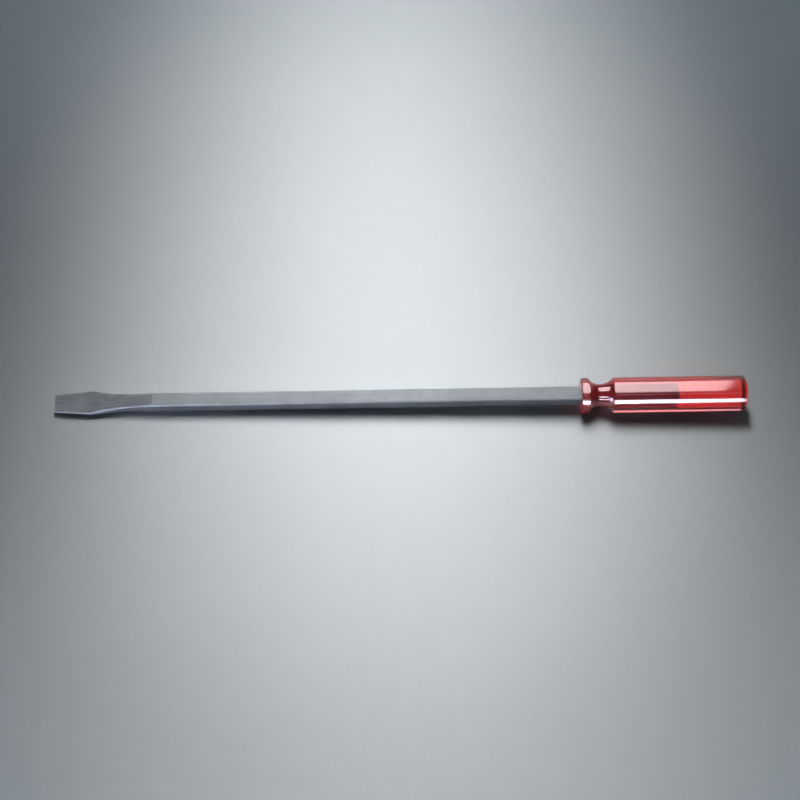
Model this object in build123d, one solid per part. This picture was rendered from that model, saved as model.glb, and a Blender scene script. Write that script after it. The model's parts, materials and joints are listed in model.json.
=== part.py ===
"""Long square-shank flat-blade screwdriver with a clear red acetate handle.

Two pieces: a forged steel blade whose plain square tang runs deep into the
handle, and a handle turned from octagonal bar stock. Millimetres.

Frame: +X runs from the tip towards the handle, +Z is up with one facet of the
handle facing up, and the tip's working width lies along Y. The origin is the
centre of the flat end of the tip.
"""
from build123d import *
from build123d.topology import SkipClean
import math
import os

# Blade: square bar
SHANK_WIDTH = 12.7
SHANK_EDGE_RADIUS = 1.4
BLADE_LENGTH = 457.2
TANG_LENGTH = 85.0
TANG_CHAMFER = 2.0

# Blade: flared tip, seen from above
TIP_WIDTH = 15.9
FLARE_WIDTH = 21.5
FLARE_FROM_TIP = 33.0
FLARE_CORNER_RADIUS = 14.0
FLARE_SWEEP_RADIUS = 200.0

# Blade: ground faces, seen from the side
TIP_THICKNESS = 2.2
FLARE_THICKNESS = 4.4
RAMP_END = 85.0
RAMP_FOOT_RADIUS = 60.0
RAMP_TOP_RADIUS = 25.0

# Handle: octagonal stock
HANDLE_LENGTH = 144.0
STOCK_ACROSS_FLATS = 28.8
STOCK_SIDES = 8
STOCK_CORNER_RADIUS = 1.2

# Handle: turned shape, measured from the front face of the collar
COLLAR_FRONT_RADIUS = 3.0
COLLAR_BACK_RADIUS = 5.0
NECK_DIAMETER = 19.8
NECK_FROM_FRONT = 16.5
NECK_FRONT_COVE = 11.0
NECK_BACK_COVE = 17.0
BUTT_EDGE_RADIUS = 4.5
TURNING_CLEARANCE = 0.5


def mirrored_outline(points_and_curves):
    """A face from curves on the side of positive second coordinate, closed by their mirror image."""
    half = Wire(points_and_curves)
    other_half = half.mirror(Plane.XZ)
    return Face(Wire(half.edges() + other_half.edges()))


def blade_plan():
    """The blade's outline in plan: flared tip, swept neck and long parallel shank."""
    half_shank = SHANK_WIDTH / 2
    rise = FLARE_WIDTH / 2 - half_shank
    sweep_run = math.sqrt(FLARE_SWEEP_RADIUS**2 - (FLARE_SWEEP_RADIUS - rise) ** 2)
    sweep_end = FLARE_FROM_TIP + sweep_run
    tang_end = BLADE_LENGTH + TANG_LENGTH
    tip_middle = (0, 0)
    tip_corner = (0, TIP_WIDTH / 2)
    flare_corner = (FLARE_FROM_TIP, FLARE_WIDTH / 2)
    shank_start = (sweep_end, half_shank)
    shank_end = (tang_end - TANG_CHAMFER, half_shank)
    tang_corner = (tang_end, half_shank - TANG_CHAMFER)
    curves = [
        Line(tip_middle, tip_corner),
        Line(tip_corner, flare_corner),
        RadiusArc(flare_corner, shank_start, -FLARE_SWEEP_RADIUS),
        Line(shank_start, shank_end),
        Line(shank_end, tang_corner),
        Line(tang_corner, (tang_end, 0)),
    ]
    outline = mirrored_outline(curves)
    flare_corners = outline.vertices().filter_by(
        lambda v: abs(v.X - FLARE_FROM_TIP) < 0.01
    )
    return outline.fillet_2d(FLARE_CORNER_RADIUS, flare_corners)


def blade_side():
    """The blade's outline from the side: two ground tapers, the parallel shank and the tang's lead-in."""
    half_shank = SHANK_WIDTH / 2
    tang_end = BLADE_LENGTH + TANG_LENGTH
    outline = mirrored_outline(
        Polyline(
            (0, 0),
            (0, TIP_THICKNESS / 2),
            (FLARE_FROM_TIP, FLARE_THICKNESS / 2),
            (RAMP_END, half_shank),
            (tang_end - TANG_CHAMFER, half_shank),
            (tang_end, half_shank - TANG_CHAMFER),
            (tang_end, 0),
        ).edges()
    )
    ramp_foot = outline.vertices().filter_by(lambda v: abs(v.X - FLARE_FROM_TIP) < 0.01)
    outline = outline.fillet_2d(RAMP_FOOT_RADIUS, ramp_foot)
    ramp_top = outline.vertices().filter_by(lambda v: abs(v.X - RAMP_END) < 0.01)
    return outline.fillet_2d(RAMP_TOP_RADIUS, ramp_top)


def make_blade():
    """Bar forged to the plan outline with rounded long edges, then ground to the side outline."""
    bar = extrude(blade_plan(), amount=SHANK_WIDTH / 2, both=True)
    face_edges = bar.faces().sort_by(Axis.Z)[-1].edges() + bar.faces().sort_by(Axis.Z)[0].edges()
    tang_end = BLADE_LENGTH + TANG_LENGTH
    long_edges = face_edges.filter_by(
        lambda e: abs(e.center().Y) > 1 and 0 < e.center().X < tang_end - TANG_CHAMFER
    )
    bar = fillet(long_edges, SHANK_EDGE_RADIUS)
    side = Plane.XZ * blade_side()
    grinding = extrude(side, amount=FLARE_WIDTH, both=True)
    return divided_at_handle(bar & grinding)


def divided_at_handle(bar):
    """The same solid, its long faces divided where it enters the handle, so that the exposed flats end there."""
    beyond = 2 * FLARE_WIDTH
    handle_side = Pos(BLADE_LENGTH, 0, 0) * Box(
        2 * TANG_LENGTH, beyond, beyond, align=(Align.MIN, Align.CENTER, Align.CENTER)
    )
    with SkipClean():
        return ((bar - handle_side) + (bar & handle_side)).solid()


def turned_outline():
    """Half outline of the turned handle: collar bead, cove, shoulder and rounded butt."""
    outer = STOCK_ACROSS_FLATS / 2 / math.cos(math.pi / STOCK_SIDES)
    body = outer + TURNING_CLEARANCE
    neck = NECK_DIAMETER / 2
    bead_height = outer - COLLAR_BACK_RADIUS
    cove_height = neck + NECK_FRONT_COVE
    centre_gap = COLLAR_BACK_RADIUS + NECK_FRONT_COVE
    centre_rise = cove_height - bead_height
    centre_run = math.sqrt(centre_gap**2 - centre_rise**2)
    bead_centre = NECK_FROM_FRONT - centre_run
    share = COLLAR_BACK_RADIUS / centre_gap
    bead_to_cove = (bead_centre + share * centre_run, bead_height + share * centre_rise)
    neck_bottom = (NECK_FROM_FRONT, neck)
    shoulder_rise = body - neck
    shoulder_run = math.sqrt(NECK_BACK_COVE**2 - (NECK_BACK_COVE - shoulder_rise) ** 2)
    shoulder = (NECK_FROM_FRONT + shoulder_run, body)
    butt_edge = (HANDLE_LENGTH - BUTT_EDGE_RADIUS, outer)
    return [
        Line((0, 0), (0, outer - COLLAR_FRONT_RADIUS)),
        RadiusArc((0, outer - COLLAR_FRONT_RADIUS), (COLLAR_FRONT_RADIUS, outer), COLLAR_FRONT_RADIUS),
        Line((COLLAR_FRONT_RADIUS, outer), (bead_centre, outer)),
        RadiusArc((bead_centre, outer), bead_to_cove, COLLAR_BACK_RADIUS),
        RadiusArc(bead_to_cove, neck_bottom, -NECK_FRONT_COVE),
        RadiusArc(neck_bottom, shoulder, -NECK_BACK_COVE),
        Line(shoulder, (butt_edge[0], body)),
        Line((butt_edge[0], body), butt_edge),
        RadiusArc(butt_edge, (HANDLE_LENGTH, outer - BUTT_EDGE_RADIUS), BUTT_EDGE_RADIUS),
        Line((HANDLE_LENGTH, outer - BUTT_EDGE_RADIUS), (HANDLE_LENGTH, 0)),
        Line((HANDLE_LENGTH, 0), (0, 0)),
    ]


def make_handle(blade):
    """Octagonal stock with a facet on top, turned at the collar, neck and butt, with the tang's socket."""
    half_turn_of_a_side = 180 / STOCK_SIDES
    octagon = RegularPolygon(
        STOCK_ACROSS_FLATS / 2, STOCK_SIDES, major_radius=False, rotation=half_turn_of_a_side
    )
    section = fillet(octagon.vertices(), STOCK_CORNER_RADIUS)
    stock = extrude(Plane.YZ * section, amount=HANDLE_LENGTH)
    turned = revolve(Face(Wire(turned_outline())), axis=Axis.X)
    handle = (stock & turned).moved(Location((BLADE_LENGTH, 0, 0)))
    return (handle - blade).solid()


def main():
    blade = make_blade()
    handle = make_handle(blade)
    os.makedirs("parts", exist_ok=True)
    export_step(blade, "parts/blade.step")
    export_step(handle, "parts/handle.step")


main()
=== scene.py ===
"""Long square-shank screwdriver with a clear red acetate handle, lying on a pale studio floor.

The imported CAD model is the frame. Two detailed pieces stand for its two nodes: the steel blade and the
acetate handle. Lengths are metres, written as millimetres times MM.
"""
import json
import math

import bpy
import numpy as np
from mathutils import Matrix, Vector


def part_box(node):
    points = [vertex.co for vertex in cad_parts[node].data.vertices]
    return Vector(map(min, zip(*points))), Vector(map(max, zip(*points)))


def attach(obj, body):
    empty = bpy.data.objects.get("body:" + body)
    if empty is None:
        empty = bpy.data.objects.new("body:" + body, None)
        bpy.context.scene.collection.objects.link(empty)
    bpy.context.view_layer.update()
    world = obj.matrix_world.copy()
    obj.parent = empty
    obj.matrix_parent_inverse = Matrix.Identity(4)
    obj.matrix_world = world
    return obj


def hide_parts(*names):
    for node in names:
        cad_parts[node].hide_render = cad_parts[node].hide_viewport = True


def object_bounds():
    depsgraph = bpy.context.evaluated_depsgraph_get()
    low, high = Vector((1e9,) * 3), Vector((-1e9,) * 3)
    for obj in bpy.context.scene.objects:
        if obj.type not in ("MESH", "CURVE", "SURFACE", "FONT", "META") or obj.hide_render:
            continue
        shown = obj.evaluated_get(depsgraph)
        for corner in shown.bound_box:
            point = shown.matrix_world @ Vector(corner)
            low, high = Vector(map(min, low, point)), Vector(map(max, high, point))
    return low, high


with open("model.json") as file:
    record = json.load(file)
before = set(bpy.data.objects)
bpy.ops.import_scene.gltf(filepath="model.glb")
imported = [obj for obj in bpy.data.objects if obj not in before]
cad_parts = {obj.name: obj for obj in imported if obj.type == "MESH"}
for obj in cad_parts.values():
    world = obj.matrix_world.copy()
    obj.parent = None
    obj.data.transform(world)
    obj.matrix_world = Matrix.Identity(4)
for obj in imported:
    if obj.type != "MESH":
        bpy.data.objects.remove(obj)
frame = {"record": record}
cad_low, cad_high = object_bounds()

MM = 0.001

# ---------------------------------------------------------------- sizes taken from the frame
mounts = {mount["name"]: mount["pos_m"] for mount in frame["record"]["mounts"]}
_, blade_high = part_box("blade")
handle_low, handle_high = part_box("handle")
TANG_END = blade_high.x
HANDLE_FRONT = handle_low.x
HANDLE_LENGTH = handle_high.x - handle_low.x
HALF_SHANK = mounts["shank_flat_up"][2]
HALF_FLARE = blade_high.y
HALF_ACROSS_FLATS = handle_high.z

# ---------------------------------------------------------------- blade sizes
HALF_TIP = 7.95 * MM
FLARE_CORNER = 33.0 * MM
FLARE_SWEEP_RADIUS = 200.0 * MM
HALF_TIP_THICKNESS = 1.1 * MM
HALF_FLARE_THICKNESS = 2.2 * MM
RAMP_END = 85.0 * MM
BAR_EDGE_RADIUS = 1.4 * MM
TANG_CHAMFER = 2.0 * MM
TIP_EDGE_BREAK = 0.18 * MM
TIP_BREAK_STEPS = 5
FLARE_BLEND = 0.2 * MM
RAMP_FOOT_BLEND = 0.12 * MM
RAMP_TOP_BLEND = 0.05 * MM
SMALLEST_RADIUS = 0.1 * MM
FLAT_STEPS = 8
CORNER_STEPS = 7

# ---------------------------------------------------------------- handle sizes
SIDES = 8
CORNER_RADIUS = 1.2 * MM
FACET_CROWN = math.radians(4.0)
CROWN_RISE = 0.06 * MM
CREASE_BLEND = 0.03 * MM
CREASE_REACH = 0.5 * MM
COLLAR_FRONT_RADIUS = 3.0 * MM
COLLAR_BACK_RADIUS = 5.0 * MM
HALF_NECK = 9.9 * MM
NECK_FROM_FRONT = 16.5 * MM
NECK_FRONT_COVE = 11.0 * MM
NECK_BACK_COVE = 17.0 * MM
BUTT_EDGE_RADIUS = 4.5 * MM
TURNING_CLEARANCE = 0.5 * MM
PRESS_FIT = 0.04 * MM


# ---------------------------------------------------------------- small helpers
def soft_min(a, b, width):
    """The lower of a and b, rounded over where they cross."""
    return (a + b - np.sqrt((a - b) ** 2 + width**2)) / 2


def soft_max(a, b, width):
    """The higher of a and b, rounded over where they cross."""
    return -soft_min(-a, -b, width)


def add_object(name, data):
    """A new object in the scene."""
    made = bpy.data.objects.new(name, data)
    bpy.context.scene.collection.objects.link(made)
    return made


def grid_mesh(name, rings):
    """A closed tube through rings of points, each an array of (count, 3), capped at both ends."""
    rings = np.asarray(rings, float)
    ring_count, side_count, _ = rings.shape
    vertices = rings.reshape(-1, 3)
    faces = []
    for i in range(ring_count - 1):
        for j in range(side_count):
            following = (j + 1) % side_count
            faces.append(
                (
                    i * side_count + j,
                    i * side_count + following,
                    (i + 1) * side_count + following,
                    (i + 1) * side_count + j,
                )
            )
    last = (ring_count - 1) * side_count
    faces.append(tuple(range(side_count))[::-1])
    faces.append(tuple(last + j for j in range(side_count)))
    mesh = bpy.data.meshes.new(name)
    mesh.from_pydata(vertices.tolist(), [], faces)
    mesh.validate()
    mesh.shade_smooth()
    return add_object(name, mesh)


# ---------------------------------------------------------------- blade
def blade_half_width(x):
    """Half the width in plan: straight tapered tip, flare corner, swept neck, parallel bar."""
    half_flare = HALF_FLARE + FLARE_BLEND / 2
    straight = HALF_TIP + (half_flare - HALF_TIP) * x / FLARE_CORNER
    rise = half_flare - HALF_SHANK
    sweep_end = FLARE_CORNER + math.sqrt(
        FLARE_SWEEP_RADIUS**2 - (FLARE_SWEEP_RADIUS - rise) ** 2
    )
    run = np.clip(sweep_end - x, 0, FLARE_SWEEP_RADIUS)
    sweep = HALF_SHANK + FLARE_SWEEP_RADIUS - np.sqrt(FLARE_SWEEP_RADIUS**2 - run**2)
    return np.where(x < sweep_end, soft_min(straight, sweep, FLARE_BLEND), HALF_SHANK)


def blade_half_thickness(x):
    """Half the thickness: thin ground tip, ground ramp, parallel bar."""
    thin = HALF_TIP_THICKNESS + (HALF_FLARE_THICKNESS - HALF_TIP_THICKNESS) * x / FLARE_CORNER
    climb = (HALF_SHANK - HALF_FLARE_THICKNESS) / (RAMP_END - FLARE_CORNER)
    ramp = HALF_FLARE_THICKNESS + climb * (x - FLARE_CORNER)
    ground = soft_max(thin, ramp, RAMP_FOOT_BLEND)
    near_ramp = x < RAMP_END + 12 * MM
    return np.where(near_ramp, soft_min(ground, HALF_SHANK, RAMP_TOP_BLEND), HALF_SHANK)


def blade_edge_radius(half_thickness):
    """The bar's long edges stay rounded where they are forged and thin out with the tip."""
    return np.minimum(BAR_EDGE_RADIUS, 0.45 * half_thickness + SMALLEST_RADIUS)


def rounded_rectangle(half_width, half_height, radius):
    """Points of a rounded rectangle in the YZ plane, anticlockwise seen from +X."""
    points = []
    corners = ((1, 1), (-1, 1), (-1, -1), (1, -1))
    ease = (1 - np.cos(np.linspace(0, math.pi, FLAT_STEPS + 1))) / 2
    for index, (side_y, side_z) in enumerate(corners):
        centre = np.array([side_y * (half_width - radius), side_z * (half_height - radius)])
        start = index * math.pi / 2
        arc = []
        for step in range(CORNER_STEPS + 1):
            angle = start + step / CORNER_STEPS * math.pi / 2
            arc.append(centre + radius * np.array([math.cos(angle), math.sin(angle)]))
        points.extend(arc)
        next_y, next_z = corners[(index + 1) % 4]
        next_centre = np.array([next_y * (half_width - radius), next_z * (half_height - radius)])
        turn = start + math.pi / 2
        next_point = next_centre + radius * np.array([math.cos(turn), math.sin(turn)])
        points.extend(arc[-1] + t * (next_point - arc[-1]) for t in ease[1:-1])
    return np.array(points)


def blade_stations():
    """Distances from the tip, closer together where the outline bends."""
    return np.concatenate(
        [
            np.linspace(0, FLARE_CORNER - 6 * MM, 36, endpoint=False),
            np.linspace(FLARE_CORNER - 6 * MM, FLARE_CORNER + 8 * MM, 36, endpoint=False),
            np.linspace(FLARE_CORNER + 8 * MM, RAMP_END - 5 * MM, 40, endpoint=False),
            np.linspace(RAMP_END - 5 * MM, RAMP_END + 5 * MM, 26, endpoint=False),
            np.linspace(RAMP_END + 5 * MM, TANG_END - TANG_CHAMFER, 120),
        ]
    )


def blade_ring(x, inset=0.0):
    """The blade's section at x as points in space, drawn in by inset all round."""
    half_thickness = float(blade_half_thickness(np.float64(x)))
    half_width = float(blade_half_width(np.float64(x)))
    radius = float(blade_edge_radius(half_thickness))
    corner = max(radius - inset, SMALLEST_RADIUS)
    section = rounded_rectangle(half_width - inset, half_thickness - inset, corner)
    return np.column_stack([np.full(len(section), x), section])


def wear_around_ring():
    """How far each point of a ring is rubbed bright: fully on the rounded corners, not on the flats."""
    corner = [0.35] + [1.0] * (CORNER_STEPS - 1) + [0.35]
    return np.array((corner + [0.0] * (FLAT_STEPS - 1)) * 4)


def make_blade():
    """The blade from the tip's eased edge to the tang's chamfered end, with its wear as an attribute."""
    rings = []
    for step in range(TIP_BREAK_STEPS + 1):
        angle = step / TIP_BREAK_STEPS * math.pi / 2
        inset = TIP_EDGE_BREAK * (1 - math.sin(angle))
        ring = blade_ring(0.0, inset)
        ring[:, 0] = TIP_EDGE_BREAK * (1 - math.cos(angle))
        rings.append(ring)
    for x in blade_stations():
        if x > TIP_EDGE_BREAK:
            rings.append(blade_ring(x))
    end_ring = blade_ring(TANG_END - TANG_CHAMFER, TANG_CHAMFER)
    end_ring[:, 0] = TANG_END
    rings.append(end_ring)
    piece = grid_mesh("steel_blade", rings)
    wear = np.tile(wear_around_ring(), (len(rings), 1))
    front_rings = TIP_BREAK_STEPS + 2
    wear[:front_rings] = np.maximum(wear[:front_rings], 0.8)
    attribute = piece.data.attributes.new("edge_wear", "FLOAT", "POINT")
    attribute.data.foreach_set("value", wear.ravel())
    return piece


# ---------------------------------------------------------------- handle
OUTER = HALF_ACROSS_FLATS / math.cos(math.pi / SIDES)
BODY_RADIUS = OUTER + TURNING_CLEARANCE
BEAD_HEIGHT = OUTER - COLLAR_BACK_RADIUS
COVE_HEIGHT = HALF_NECK + NECK_FRONT_COVE
CENTRE_GAP = COLLAR_BACK_RADIUS + NECK_FRONT_COVE
CENTRE_RUN = math.sqrt(CENTRE_GAP**2 - (COVE_HEIGHT - BEAD_HEIGHT) ** 2)
BEAD_CENTRE = NECK_FROM_FRONT - CENTRE_RUN
BEAD_TO_COVE = BEAD_CENTRE + CENTRE_RUN * COLLAR_BACK_RADIUS / CENTRE_GAP
SHOULDER = NECK_FROM_FRONT + math.sqrt(
    NECK_BACK_COVE**2 - (NECK_BACK_COVE - (BODY_RADIUS - HALF_NECK)) ** 2
)


def turned_radius(u):
    """Radius of the turned shape at distances u behind the collar's front face."""

    def arc(centre_u, centre_height, radius, sign):
        return centre_height + sign * np.sqrt(np.maximum(radius**2 - (u - centre_u) ** 2, 0))

    front = arc(COLLAR_FRONT_RADIUS, OUTER - COLLAR_FRONT_RADIUS, COLLAR_FRONT_RADIUS, 1)
    bead = arc(BEAD_CENTRE, BEAD_HEIGHT, COLLAR_BACK_RADIUS, 1)
    front_cove = arc(NECK_FROM_FRONT, COVE_HEIGHT, NECK_FRONT_COVE, -1)
    back_cove = arc(NECK_FROM_FRONT, HALF_NECK + NECK_BACK_COVE, NECK_BACK_COVE, -1)
    butt_start = HANDLE_LENGTH - BUTT_EDGE_RADIUS
    butt = arc(butt_start, OUTER - BUTT_EDGE_RADIUS, BUTT_EDGE_RADIUS, 1)
    body = np.full_like(u, BODY_RADIUS)
    return np.select(
        [
            u < COLLAR_FRONT_RADIUS,
            u < BEAD_CENTRE,
            u < BEAD_TO_COVE,
            u < NECK_FROM_FRONT,
            u < SHOULDER,
            u < butt_start,
        ],
        [front, np.full_like(u, OUTER), bead, front_cove, back_cove, body],
        butt,
    )


def stock_section(facet_steps=14, corner_steps=8):
    """Angles and radii of the extruded octagon, facet up, with crowned facets and rounded corners."""
    per_side = 2 * math.pi / SIDES
    # The corner circles touch the crowned facets where the facet's normal has turned by the crown angle.
    half_chord = (OUTER - CORNER_RADIUS * (1 / math.cos(per_side / 2) - 1)) * math.sin(per_side / 2)
    half_chord -= CORNER_RADIUS * math.sin(per_side / 2 - FACET_CROWN)
    facet_radius = half_chord / math.sin(FACET_CROWN)
    centre_out = HALF_ACROSS_FLATS + CROWN_RISE - facet_radius
    points = []
    for side in range(SIDES):
        facing = side * per_side
        normal = np.array([math.cos(facing), math.sin(facing)])
        facet_centre = normal * centre_out
        for step in range(facet_steps + 1):
            turn = facing + FACET_CROWN * (2 * step / facet_steps - 1)
            points.append(facet_centre + facet_radius * np.array([math.cos(turn), math.sin(turn)]))
        leaving = facing + FACET_CROWN
        arriving = facing + per_side - FACET_CROWN
        corner_start = points[-1]
        next_normal = np.array([math.cos(facing + per_side), math.sin(facing + per_side)])
        corner_end = next_normal * centre_out + facet_radius * np.array(
            [math.cos(arriving), math.sin(arriving)]
        )
        radius = np.linalg.norm(corner_end - corner_start) / (2 * math.sin((arriving - leaving) / 2))
        corner_centre = corner_start - radius * np.array([math.cos(leaving), math.sin(leaving)])
        for step in range(1, corner_steps):
            turn = leaving + (arriving - leaving) * step / corner_steps
            points.append(corner_centre + radius * np.array([math.cos(turn), math.sin(turn)]))
    points = np.array(points)
    return np.arctan2(points[:, 1], points[:, 0]), np.hypot(points[:, 0], points[:, 1])


def crossing(low, high, stock_radius):
    """Where the turned radius equals each stock radius, between low and high, by bisection."""
    low = np.full_like(stock_radius, low)
    high = np.full_like(stock_radius, high)
    rising = turned_radius(high) > turned_radius(low)
    for _ in range(50):
        middle = (low + high) / 2
        above = turned_radius(middle) > stock_radius
        move_high = above == rising
        high = np.where(move_high, middle, high)
        low = np.where(move_high, low, middle)
    return (low + high) / 2


def handle_rows(stock_radius):
    """Distances behind the front face, one row of the mesh each, which follow every facet's edge."""
    zero = np.zeros_like(stock_radius)
    collar_front = crossing(0.0, COLLAR_FRONT_RADIUS, stock_radius)
    collar_back = crossing(BEAD_CENTRE, NECK_FROM_FRONT, stock_radius)
    shoulder = crossing(NECK_FROM_FRONT, SHOULDER, stock_radius)
    butt = crossing(HANDLE_LENGTH - BUTT_EDGE_RADIUS, HANDLE_LENGTH, stock_radius)
    crease = np.array([-1.0, -0.5, -0.24, -0.1, 0.0, 0.1, 0.24, 0.5, 1.0])
    rows = []

    def stretch(start, end, count, ease=False):
        for t in np.linspace(0, 1, count + 2)[1:-1]:
            if ease:
                t = (1 - math.cos(t * math.pi)) / 2
            rows.append(start + (end - start) * t)

    near_front = np.minimum(CREASE_REACH, 0.4 * collar_front)
    stretch(zero, collar_front - near_front, 10, ease=True)
    rows.extend(collar_front + offset * near_front for offset in crease)
    stretch(collar_front + near_front, collar_back - CREASE_REACH, 8)
    rows.extend(collar_back + offset * CREASE_REACH for offset in crease)
    stretch(collar_back + CREASE_REACH, zero + NECK_FROM_FRONT, 30)
    rows.append(zero + NECK_FROM_FRONT)
    stretch(zero + NECK_FROM_FRONT, shoulder - CREASE_REACH, 40)
    rows.extend(shoulder + offset * CREASE_REACH for offset in crease)
    near_butt = np.minimum(CREASE_REACH, 0.4 * (HANDLE_LENGTH - butt))
    stretch(shoulder + CREASE_REACH, butt - near_butt, 40)
    rows.extend(butt + offset * near_butt for offset in crease)
    stretch(butt + near_butt, zero + HANDLE_LENGTH, 14, ease=True)
    return rows


def make_handle():
    """The handle with its socket: socket end, socket wall, front face, turned outside, butt."""
    angle, stock_radius = stock_section()
    cosines, sines = np.cos(angle), np.sin(angle)

    def ring(u, radius):
        return np.column_stack([HANDLE_FRONT + u, radius * cosines, radius * sines])

    rings = []
    zero = np.zeros_like(stock_radius)
    socket = socket_radius(angle)
    face_radius = OUTER - COLLAR_FRONT_RADIUS
    socket_end = TANG_END - HANDLE_FRONT - PRESS_FIT
    for share in (0.02, 0.5, 1.0):
        rings.append(ring(zero + socket_end, share * socket_radius(angle, TANG_CHAMFER)))
    for u in np.linspace(socket_end - TANG_CHAMFER, 0.0, 24):
        rings.append(ring(zero + u, socket))
    for share in np.linspace(0, 1, 8)[1:]:
        rings.append(ring(zero, socket + (face_radius - socket) * share))
    for row in handle_rows(stock_radius):
        rings.append(ring(row, soft_min(turned_radius(row), stock_radius, CREASE_BLEND)))
    butt_radius = OUTER - BUTT_EDGE_RADIUS
    for share in (1.0, 0.98, 0.8, 0.6, 0.4, 0.2, 0.02):
        rings.append(ring(zero + HANDLE_LENGTH, zero + share * butt_radius))
    return grid_mesh("acetate_handle", rings)


def socket_radius(angle, smaller_by=0.0):
    """Polar radius of the square socket, a hair smaller than the tang that is pressed into it."""
    half = HALF_SHANK - PRESS_FIT - smaller_by
    corner = min(BAR_EDGE_RADIUS, half)
    inner = half - corner
    to_axis = np.abs((angle + math.pi / 4) % (math.pi / 2) - math.pi / 4)
    flat = half / np.cos(to_axis)
    # The corner circle's centre lies on the diagonal.
    centre = inner * math.sqrt(2)
    off_diagonal = math.pi / 4 - to_axis
    reach = centre * np.cos(off_diagonal) + np.sqrt(
        np.maximum(corner**2 - (centre * np.sin(off_diagonal)) ** 2, 0)
    )
    on_flat = flat * np.sin(to_axis) <= inner
    return np.where(on_flat, flat, reach)


# ---------------------------------------------------------------- materials
BAR_DARK = (0.12, 0.124, 0.131, 1)
BAR_LIGHT = (0.178, 0.183, 0.193, 1)
# Tip ground faces: grinding-line tones, both darker than the bar's. The darkness is painted shade for the
# dimmer light those faces reflect.
TIP_SHADED_DARK = (0.085, 0.09, 0.094, 1)
TIP_SHADED_LIGHT = (0.16, 0.168, 0.174, 1)
WORN_STEEL = (0.27, 0.28, 0.30, 1)
RED_DEEP = (0.93, 0.055, 0.055, 1)
RED_BRIGHT = (0.98, 0.08, 0.075, 1)
TURNING_PITCH = 0.35 * MM
WEAR_FADES_FROM = 160 * MM
WEAR_FADES_TO = 300 * MM


def node(tree, kind, **values):
    """A new node, with inputs set by name and other settings as attributes."""
    made = tree.nodes.new(kind)
    for key, value in values.items():
        if key in made.inputs:
            made.inputs[key].default_value = value
        else:
            setattr(made, key, value)
    return made


def empty_material(name):
    """A new material without nodes, and its node tree."""
    material = bpy.data.materials.new(name)
    material.use_nodes = True
    material.node_tree.nodes.clear()
    return material, material.node_tree


def calculate(tree, operation, *values):
    """A math node fed by sockets or numbers; returns its output."""
    made = tree.nodes.new("ShaderNodeMath")
    made.operation = operation
    for index, value in enumerate(values):
        if isinstance(value, (int, float)):
            made.inputs[index].default_value = value
        else:
            tree.links.new(value, made.inputs[index])
    return made.outputs[0]


def ramp_between(tree, value, low, high, start=0.0, end=1.0):
    """Maps value from low..high to start..end, smoothly, and holds it outside."""
    made = node(tree, "ShaderNodeMapRange", interpolation_type="SMOOTHSTEP")
    made.inputs["From Min"].default_value = low
    made.inputs["From Max"].default_value = high
    made.inputs["To Min"].default_value = start
    made.inputs["To Max"].default_value = end
    tree.links.new(value, made.inputs["Value"])
    return made.outputs["Result"]


def noise(tree, place, scale, detail=3.0, roughness=0.6):
    """A noise pattern with its own scale along each axis."""
    stretched = node(tree, "ShaderNodeMapping")
    stretched.inputs["Scale"].default_value = scale
    tree.links.new(place, stretched.inputs["Vector"])
    made = node(tree, "ShaderNodeTexNoise", Scale=1.0, Detail=detail, Roughness=roughness)
    tree.links.new(stretched.outputs["Vector"], made.inputs["Vector"])
    return made.outputs["Fac"]


def mix_colours(tree, share, first, second):
    """first where share is 0, second where it is 1; each a colour or a socket."""
    made = node(tree, "ShaderNodeMix", data_type="RGBA")
    tree.links.new(share, made.inputs[0])
    for socket, value in ((made.inputs[6], first), (made.inputs[7], second)):
        if isinstance(value, tuple):
            socket.default_value = value
        else:
            tree.links.new(value, socket)
    return made.outputs[2]


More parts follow.
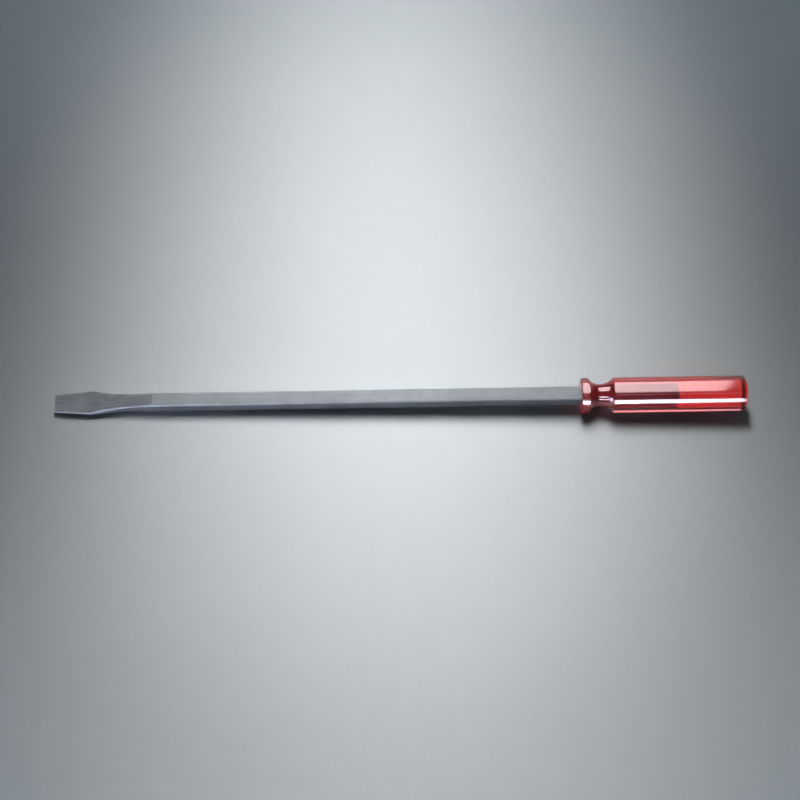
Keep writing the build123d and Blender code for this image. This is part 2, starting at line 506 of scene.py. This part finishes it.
def steel_material():
    """Dark satin bar: fine drawing lines, worn edges, and coarser grinding lines on the tip, whose ground
    faces carry painted shade: a darker tone for the dimmer light they reflect.
    """
    material, tree = empty_material("dark_steel")
    link = tree.links.new
    output = node(tree, "ShaderNodeOutputMaterial")
    shader = node(tree, "ShaderNodeBsdfPrincipled")
    shader.inputs["Metallic"].default_value = 0.25
    link(shader.outputs["BSDF"], output.inputs["Surface"])
    place = node(tree, "ShaderNodeTexCoord").outputs["Object"]
    split = node(tree, "ShaderNodeSeparateXYZ")
    link(place, split.inputs["Vector"])
    facing = node(tree, "ShaderNodeSeparateXYZ")
    link(node(tree, "ShaderNodeNewGeometry").outputs["True Normal"], facing.inputs["Vector"])

    drawn = noise(tree, place, (9, 1100, 1100), 4.0, 0.65)
    cloud = noise(tree, place, (70, 70, 70), 4.0, 0.6)
    ground_lines = noise(tree, place, (22, 620, 620), 3.0, 0.7)
    specks = noise(tree, place, (900, 900, 900), 2.0, 0.5)

    tip = ramp_between(tree, split.outputs["X"], RAMP_END - 0.6 * MM, RAMP_END + 0.6 * MM, 1, 0)
    flat = ramp_between(tree, calculate(tree, "ABSOLUTE", facing.outputs["Z"]), 0.6, 0.9)
    ground = calculate(tree, "MULTIPLY", tip, flat)
    corner = node(tree, "ShaderNodeAttribute", attribute_name="edge_wear").outputs["Fac"]
    scuffed = ramp_between(tree, cloud, 0.35, 0.6, 0.5, 1)
    near_tip = ramp_between(tree, split.outputs["X"], WEAR_FADES_FROM, WEAR_FADES_TO, 1, 0.3)
    worn = calculate(tree, "MULTIPLY", calculate(tree, "MULTIPLY", corner, scuffed), near_tip)
    lines = node(tree, "ShaderNodeMix", data_type="FLOAT")
    link(ground, lines.inputs[0])
    link(drawn, lines.inputs[2])
    link(ground_lines, lines.inputs[3])
    clouded = calculate(tree, "MULTIPLY", cloud, 0.4)
    grain = calculate(tree, "MULTIPLY_ADD", lines.outputs[0], 0.6, clouded)
    light_lines = ramp_between(tree, grain, 0.32, 0.68)

    bar = mix_colours(tree, light_lines, BAR_DARK, BAR_LIGHT)
    # Painted shade: the tip's ground faces take the darker tones.
    tip_faces_painted_shade = mix_colours(tree, light_lines, TIP_SHADED_DARK, TIP_SHADED_LIGHT)
    colour = mix_colours(tree, ground, bar, tip_faces_painted_shade)
    pitted = ramp_between(tree, specks, 0.66, 0.74, 0, 0.35)
    colour = mix_colours(tree, pitted, colour, BAR_DARK)
    colour = mix_colours(tree, worn, colour, WORN_STEEL)
    link(colour, shader.inputs["Base Color"])

    satin = ramp_between(tree, grain, 0.3, 0.7, 0.34, 0.46)
    smoothed = calculate(tree, "MULTIPLY", worn, 0.12)
    link(calculate(tree, "SUBTRACT", satin, smoothed), shader.inputs["Roughness"])
    bump = node(tree, "ShaderNodeBump", Strength=0.35, Distance=0.02 * MM)
    link(lines.outputs[0], bump.inputs["Height"])
    link(bump.outputs["Normal"], shader.inputs["Normal"])
    return material


def acetate_material():
    """Clear red acetate: glossy with fine handling scratches, faint flow streaks and turned ends."""
    material, tree = empty_material("clear_red_acetate")
    link = tree.links.new
    output = node(tree, "ShaderNodeOutputMaterial")
    shader = node(tree, "ShaderNodeBsdfPrincipled")
    shader.inputs["Transmission Weight"].default_value = 0.78
    shader.inputs["IOR"].default_value = 1.48
    shader.inputs["Specular IOR Level"].default_value = 1.0
    shader.inputs["Specular Tint"].default_value = (1.0, 0.35, 0.4, 1)
    shader.inputs["Coat Weight"].default_value = 1.0
    shader.inputs["Coat Roughness"].default_value = 0.07
    shader.inputs["Coat IOR"].default_value = 1.8
    link(shader.outputs["BSDF"], output.inputs["Surface"])
    inside = node(tree, "ShaderNodeVolumeAbsorption", Density=25.0)
    inside.inputs["Color"].default_value = (0.95, 0.05, 0.05, 1)
    link(inside.outputs["Volume"], output.inputs["Volume"])

    place = node(tree, "ShaderNodeTexCoord").outputs["Object"]
    split = node(tree, "ShaderNodeSeparateXYZ")
    link(place, split.inputs["Vector"])
    flow = noise(tree, place, (18, 260, 260), 3.0, 0.55)
    handling = noise(tree, place, (110, 110, 110), 5.0, 0.7)
    scratches = noise(tree, place, (2600, 90, 2600), 2.0, 0.5)
    colour = mix_colours(tree, ramp_between(tree, flow, 0.3, 0.7), RED_DEEP, RED_BRIGHT)
    link(colour, shader.inputs["Base Color"])
    gloss = ramp_between(tree, handling, 0.35, 0.75, 0.045, 0.11)
    scratched = ramp_between(tree, scratches, 0.68, 0.76, 0, 0.06)
    turned_end = handle_low.x + SHOULDER - 5 * MM
    neck = ramp_between(tree, split.outputs["X"], turned_end, turned_end + 4 * MM, 0.14, 0)
    rough = calculate(tree, "ADD", gloss, scratched)
    link(calculate(tree, "ADD", rough, neck), shader.inputs["Roughness"])

    squares = calculate(tree, "MULTIPLY", split.outputs["Y"], split.outputs["Y"])
    squares = calculate(tree, "MULTIPLY_ADD", split.outputs["Z"], split.outputs["Z"], squares)
    radius = calculate(tree, "SQRT", squares)
    rings = calculate(tree, "SINE", calculate(tree, "MULTIPLY", radius, 2 * math.pi / TURNING_PITCH))
    end_start = handle_high.x - 1.5 * MM
    turned = ramp_between(tree, split.outputs["X"], end_start, handle_high.x - 0.3 * MM)
    marks = calculate(tree, "MULTIPLY", rings, turned)
    height = calculate(tree, "MULTIPLY_ADD", marks, 0.35, flow)
    bump = node(tree, "ShaderNodeBump", Strength=0.12, Distance=0.03 * MM)
    link(height, bump.inputs["Height"])
    link(bump.outputs["Normal"], shader.inputs["Normal"])
    return material


def floor_material():
    """Pale matt paper with a fine fibre. Out of the pool of light it carries a painted glow: its own
    emission, standing in for lamp light on the floor beyond the pool.
    """
    material, tree = empty_material("pale_paper")
    link = tree.links.new
    output = node(tree, "ShaderNodeOutputMaterial")
    shader = node(tree, "ShaderNodeBsdfPrincipled", Roughness=0.9)
    shader.inputs["Specular IOR Level"].default_value = 0.2
    link(shader.outputs["BSDF"], output.inputs["Surface"])
    fibre = node(tree, "ShaderNodeTexNoise", Scale=400.0, Detail=3.0)
    colour = node(tree, "ShaderNodeValToRGB")
    colour.color_ramp.elements[0].color = (0.78, 0.79, 0.795, 1)
    colour.color_ramp.elements[1].color = (0.82, 0.825, 0.83, 1)
    place = node(tree, "ShaderNodeTexCoord")
    link(place.outputs["Object"], fibre.inputs["Vector"])
    link(fibre.outputs["Fac"], colour.inputs["Fac"])
    link(colour.outputs["Color"], shader.inputs["Base Color"])
    split = node(tree, "ShaderNodeSeparateXYZ")
    link(place.outputs["Object"], split.inputs["Vector"])
    across = calculate(tree, "SUBTRACT", split.outputs["X"], MIDDLE_X)
    squares = calculate(tree, "MULTIPLY", across, across)
    squares = calculate(tree, "MULTIPLY_ADD", split.outputs["Y"], split.outputs["Y"], squares)
    away = calculate(tree, "SQRT", squares)
    # Painted glow: emission that rises with distance from the tool's middle.
    glow = ramp_between(tree, away, FLOOR_GLOW_START, FLOOR_GLOW_END, 0, PAINTED_FLOOR_GLOW_RADIANCE)
    shader.inputs["Emission Color"].default_value = FLOOR_GLOW_AND_BACKDROP_COLOUR
    link(glow, shader.inputs["Emission Strength"])
    return material


# ---------------------------------------------------------------- pieces
blade = make_blade()
blade.data.materials.append(steel_material())
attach(blade, "root")
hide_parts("blade")

handle = make_handle()
handle.data.materials.append(acetate_material())
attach(handle, "root")
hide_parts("handle")

# ---------------------------------------------------------------- studio sizes, in metres
# The tool lies on two points: the ramp's top edge under the bar, and the collar's lowest facet.
MIDDLE_X = (cad_low.x + cad_high.x) / 2
COLLAR_CONTACT = HANDLE_FRONT + 2.4 * MM
FLOOR_FALL = (HALF_ACROSS_FLATS - HALF_SHANK) / (COLLAR_CONTACT - RAMP_END)
FLOOR_CLEARANCE = 0.1 * MM
FLOOR_HALF_WIDTH = 3.0
# The floor's painted glow: emission rising between these distances from the tool's middle. Its colour is
# also the backdrop's colour.
FLOOR_GLOW_START = 0.25
FLOOR_GLOW_END = 0.6
PAINTED_FLOOR_GLOW_RADIANCE = 0.14
FLOOR_GLOW_AND_BACKDROP_COLOUR = (0.68, 0.85, 1.0, 1)

# The key light has a grid, so its light ends POOL_REACH from the middle of the tool.
POOL_ANGLE = 31.0
POOL_DISTANCE = 1.15
POOL_REACH = 0.435
POOL_LAMP_WIDTH = 0.19
POOL_LAMP_HEIGHT = 0.75
POOL_WATTS = 1.28
POOL_COLOUR = (0.93, 0.975, 1.0)

# The fill lamp stands low in front of the tip.
FILL_ANGLE = -72.0
FILL_DISTANCE = 0.6
FILL_X = -0.25
FILL_WIDTH = 0.5
FILL_HEIGHT = 0.4
FILL_RADIANCE = 8.5
FILL_COLOUR = (0.68, 0.75, 1.0)

# Two cards lie on the floor at the handle.
CARD_ABOVE_FLOOR = 0.05 * MM
GLOW_CARD_MARGIN = 0.03
GLOW_CARD_WIDTH = 0.08
GLOW_RADIANCE = 0.7
FRONT_CARD_GAP = 3.0 * MM
FRONT_CARD_WIDTH = 6.0 * MM
FRONT_CARD_RADIANCE = 1.8
FRONT_CARD_COLOUR = (1.0, 0.42, 0.45)

# Long softboxes dim towards their ends as a bell curve of this width.
SOFTBOX_FALLOFF = 0.6
WHITE = (1.0, 1.0, 1.0)
COOL = (0.8, 0.88, 1.0)
COOLER = (0.7, 0.82, 1.0)

# The world lights the tool with a band of wall round the horizon; the camera sees an even backdrop.
WALL_RADIANCE = 0.055
CEILING_RADIANCE = 0.005
WALL_TOP = 0.02
CEILING_START = 0.3
WORLD_COLOUR = (0.6, 0.82, 1.0, 1)
BACKDROP_RADIANCE = 0.17

CAMERA_AZIMUTH = math.radians(-1.0)
CAMERA_ELEVATION = math.radians(67.0)
CAMERA_DISTANCE = 1.1135
CAMERA_AIM = Vector((0.3001, -0.0015, 0))
CAMERA_LENS = 57.5
CAMERA_SENSOR = 36.0


# ---------------------------------------------------------------- studio
def floor_height(x):
    """Height of the floor at x, straight under the tool."""
    return -HALF_SHANK - FLOOR_CLEARANCE - FLOOR_FALL * (x - RAMP_END)


def make_floor():
    """A large square floor that falls a little towards the handle, so that the tool lies on it."""
    half = FLOOR_HALF_WIDTH
    corners = []
    for x, y in ((-half, -half), (half, -half), (half, half), (-half, half)):
        corners.append((MIDDLE_X + x, y, floor_height(MIDDLE_X + x)))
    mesh = bpy.data.meshes.new("floor")
    mesh.from_pydata(corners, [], [(0, 1, 2, 3)])
    floor = add_object("floor", mesh)
    floor.data.materials.append(floor_material())


def make_lamp(name, width, height, watts, colour, seen_in):
    """A rectangular lamp that the camera doesn't see, and whose light reaches only the rays in seen_in."""
    data = bpy.data.lights.new(name, "AREA")
    data.shape = "RECTANGLE"
    data.size = width
    data.size_y = height
    data.energy = watts
    data.color = colour
    lamp = add_object(name, data)
    lamp.visible_camera = False
    lamp.visible_diffuse = "diffuse" in seen_in
    lamp.visible_glossy = "gloss" in seen_in
    lamp.visible_transmission = "glass" in seen_in
    return lamp


def watts_for(radiance, width, height):
    """The power at which a lamp of this size has this radiance."""
    return radiance * math.pi * width * height


def aim_at_tool(lamp, from_vertical, distance, x=MIDDLE_X):
    """Places a lamp from_vertical degrees behind straight up, facing the tool's axis at x."""
    angle = math.radians(from_vertical)
    towards = Vector((0, math.sin(angle), math.cos(angle)))
    lamp.location = Vector((x, 0, 0)) + towards * distance
    lamp.rotation_euler = towards.to_track_quat("Z", "Y").to_euler()


def lay_on_floor(lamp, x, y):
    """Lays a lamp on the sloping floor, facing up."""
    lamp.location = (x, y, floor_height(x) + CARD_ABOVE_FLOOR)
    lamp.rotation_euler = (math.pi, math.atan(FLOOR_FALL), 0)


def show_directly(lamp, strength=1.0):
    """Keeps a lamp's light out of diffuse bounces, so that it shows in gloss and glass only."""
    tree = lamp.data.node_tree
    path = node(tree, "ShaderNodeLightPath")
    direct = calculate(tree, "LESS_THAN", path.outputs["Diffuse Depth"], 0.5)
    shown = calculate(tree, "MULTIPLY", direct, strength)
    tree.links.new(shown, tree.nodes["Emission"].inputs["Strength"])


def make_softbox(name, angle, distance, width, height, radiance, colour, seen_in):
    """A long softbox facing the tool, dimming towards its two ends."""
    lamp = make_lamp(name, width, height, watts_for(radiance, width, height), colour, seen_in)
    aim_at_tool(lamp, angle, distance)
    lamp.data.use_nodes = True
    tree = lamp.data.node_tree
    split = node(tree, "ShaderNodeSeparateXYZ")
    place = node(tree, "ShaderNodeNewGeometry").outputs["Parametric"]
    tree.links.new(place, split.inputs["Vector"])
    centred = calculate(tree, "SUBTRACT", split.outputs["X"], 0.5)
    scaled = calculate(tree, "MULTIPLY", centred, width / SOFTBOX_FALLOFF)
    squared = calculate(tree, "MULTIPLY", scaled, scaled)
    show_directly(lamp, calculate(tree, "EXPONENT", calculate(tree, "MULTIPLY", squared, -0.5)))


def make_pool():
    """The key light: a softbox with a honeycomb grid, whose pool of light is centred on the tool."""
    lamp = make_lamp(
        "pool", POOL_LAMP_WIDTH, POOL_LAMP_HEIGHT, POOL_WATTS, POOL_COLOUR, ("diffuse",)
    )
    lamp.data.spread = 2 * math.atan(POOL_REACH / POOL_DISTANCE)
    aim_at_tool(lamp, POOL_ANGLE, POOL_DISTANCE)


def make_fill():
    """A soft lamp low in front of the tip, which lights the tool but not the floor."""
    watts = watts_for(FILL_RADIANCE, FILL_WIDTH, FILL_HEIGHT)
    lamp = make_lamp("fill", FILL_WIDTH, FILL_HEIGHT, watts, FILL_COLOUR, ("diffuse", "gloss"))
    aim_at_tool(lamp, FILL_ANGLE, FILL_DISTANCE, FILL_X)
    receivers = bpy.data.collections.new("fill_receivers")
    for piece in (blade, handle):
        receivers.objects.link(piece)
    lamp.light_linking.receiver_collection = receivers


def make_card(name, start_x, end_x, y, width, radiance, colour, seen_in):
    """A glowing card on the floor, from start_x to end_x."""
    length = end_x - start_x
    lamp = make_lamp(name, length, width, watts_for(radiance, length, width), colour, seen_in)
    lay_on_floor(lamp, (start_x + end_x) / 2, y)
    lamp.data.use_nodes = True
    show_directly(lamp)


def make_world():
    """A dark studio with a paler band of wall around the horizon."""
    world = bpy.data.worlds.new("studio")
    world.use_nodes = True
    tree = world.node_tree
    lighting = tree.nodes["Background"]
    lighting.inputs["Color"].default_value = WORLD_COLOUR
    split = node(tree, "ShaderNodeSeparateXYZ")
    place = node(tree, "ShaderNodeTexCoord").outputs["Generated"]
    tree.links.new(place, split.inputs["Vector"])
    up = split.outputs["Z"]
    band = ramp_between(tree, up, WALL_TOP, CEILING_START, WALL_RADIANCE, CEILING_RADIANCE)
    tree.links.new(band, lighting.inputs["Strength"])
    backdrop = node(tree, "ShaderNodeBackground", Color=FLOOR_GLOW_AND_BACKDROP_COLOUR, Strength=BACKDROP_RADIANCE)
    path = node(tree, "ShaderNodeLightPath")
    mixed = node(tree, "ShaderNodeMixShader")
    tree.links.new(path.outputs["Is Camera Ray"], mixed.inputs["Fac"])
    tree.links.new(lighting.outputs["Background"], mixed.inputs[1])
    tree.links.new(backdrop.outputs["Background"], mixed.inputs[2])
    tree.links.new(mixed.outputs["Shader"], tree.nodes["World Output"].inputs["Surface"])
    bpy.context.scene.world = world


def make_camera():
    """A camera above and in front of the tool, with the tip on the left."""
    level = math.cos(CAMERA_ELEVATION)
    back = Vector(
        (
            math.sin(CAMERA_AZIMUTH) * level,
            -math.cos(CAMERA_AZIMUTH) * level,
            math.sin(CAMERA_ELEVATION),
        )
    )
    data = bpy.data.cameras.new("camera")
    data.sensor_width = CAMERA_SENSOR
    data.lens = CAMERA_LENS
    camera = add_object("camera", data)
    camera.location = CAMERA_AIM + back * CAMERA_DISTANCE
    camera.rotation_euler = back.to_track_quat("Z", "Y").to_euler()
    bpy.context.scene.camera = camera


make_floor()
make_softbox(
    "back_softbox",
    angle=38.5,
    distance=0.8,
    width=1.0,
    height=0.63,
    radiance=5.6,
    colour=WHITE,
    seen_in=("gloss",),
)
make_softbox(
    "front_strip",
    angle=-68.3,
    distance=1.1,
    width=1.2,
    height=0.085,
    radiance=26.0,
    colour=COOL,
    seen_in=("gloss",),
)
make_softbox(
    "high_strip",
    angle=-42.0,
    distance=1.1,
    width=1.2,
    height=0.16,
    radiance=16.0,
    colour=COOLER,
    seen_in=("gloss",),
)
make_softbox(
    "back_glow",
    angle=38.5,
    distance=0.82,
    width=1.0,
    height=0.63,
    radiance=3.2,
    colour=WHITE,
    seen_in=("glass",),
)
make_pool()
make_fill()
make_card(
    "glow_card",
    start_x=HANDLE_FRONT - GLOW_CARD_MARGIN,
    end_x=handle_high.x + GLOW_CARD_MARGIN,
    y=0,
    width=GLOW_CARD_WIDTH,
    radiance=GLOW_RADIANCE,
    colour=WHITE,
    seen_in=("glass",),
)
make_card(
    "front_card",
    start_x=HANDLE_FRONT + SHOULDER,
    end_x=handle_high.x,
    y=-HALF_ACROSS_FLATS - FRONT_CARD_GAP,
    width=FRONT_CARD_WIDTH,
    radiance=FRONT_CARD_RADIANCE,
    colour=FRONT_CARD_COLOUR,
    seen_in=("gloss",),
)
make_world()
make_camera()
bpy.context.scene.view_settings.view_transform = "Standard"
